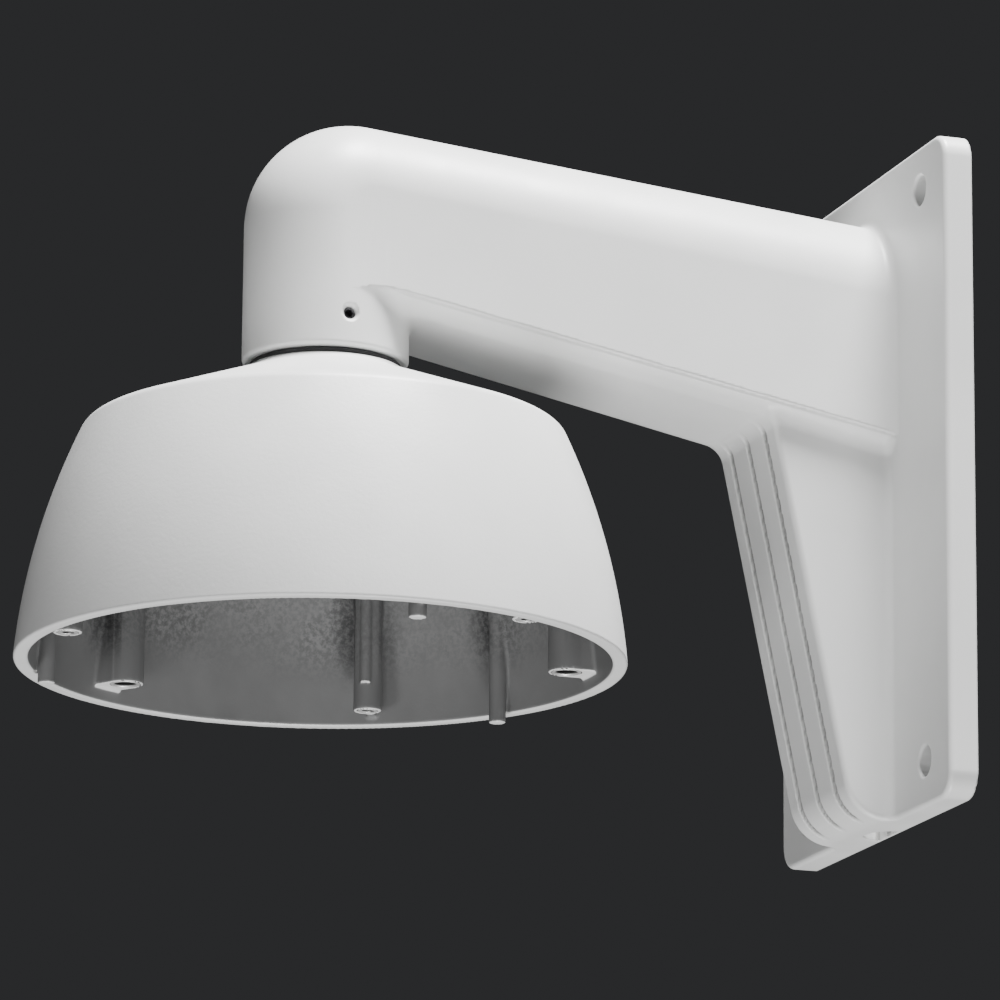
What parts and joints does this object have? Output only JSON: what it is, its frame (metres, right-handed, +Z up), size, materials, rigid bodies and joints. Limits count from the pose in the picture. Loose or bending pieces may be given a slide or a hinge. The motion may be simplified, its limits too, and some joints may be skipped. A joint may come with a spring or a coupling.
{
  "type": "camera wall bracket with pendant cap",
  "caption": "White cast wall bracket with a hollow arm and a grooved gusset, holding a bell-shaped pendant cap that screws on from below.",
  "frame": {"origin": "centre of the wall plate's back face, where the bracket meets the wall", "axes": "+Y into the wall, so the arm reaches along -Y; +Z up; +X to the right for someone facing the wall"},
  "size_m": [0.1626, 0.2444, 0.1838],
  "materials": {
    "bracket_paint": "semi-matte white powder coat on cast aluminium",
    "cap_paint": "semi-matte white powder coat outside, thin grey overspray inside",
    "black_rubber": "matte moulded rubber",
    "neck_steel": "turned and zinc plated",
    "nut_steel": "zinc plated",
    "black_steel": "black oxide",
    "screw_steel": "zinc plated",
    "insert_steel": "turned, bare end face"
  },
  "bodies": {
    "bracket": {"wall_bracket": "bracket_paint", "wall_gasket": "black_rubber"},
    "seal": {"neck_seal": "black_rubber"},
    "cap": {"pendant_cap": "cap_paint", "threaded_neck": "neck_steel", "neck_locknut": "nut_steel", "neck_washer": "black_rubber", "anchor_screw": "screw_steel", "anchor_washer": "screw_steel", "thread_insert_1": "insert_steel", "thread_insert_2": "insert_steel", "thread_insert_3": "insert_steel", "camera_bush_1": "insert_steel", "camera_bush_2": "insert_steel", "camera_bush_3": "insert_steel"},
    "lock_screw": {"set_screw": "black_steel"}
  },
  "joints": [
    {"name": "cap_drop", "type": "slide", "parent": "bracket", "child": "seal", "axis": [0, 0, -1], "range_m": [0, 0.0116]},
    {"name": "cap_turn", "type": "hinge", "parent": "seal", "child": "cap", "pos_m": [0, -0.1631, 0.0238], "axis": [0, 0, -1], "range_deg": [0, 1800]},
    {"name": "lock_screw_travel", "type": "slide", "parent": "bracket", "child": "lock_screw", "axis": [1, 0, 0], "range_m": [0, 0.003]}
  ],
  "couplings": [
    {"joint": "cap_drop", "follows": "cap_turn", "m_per_rad": 0.00036749}
  ]
}
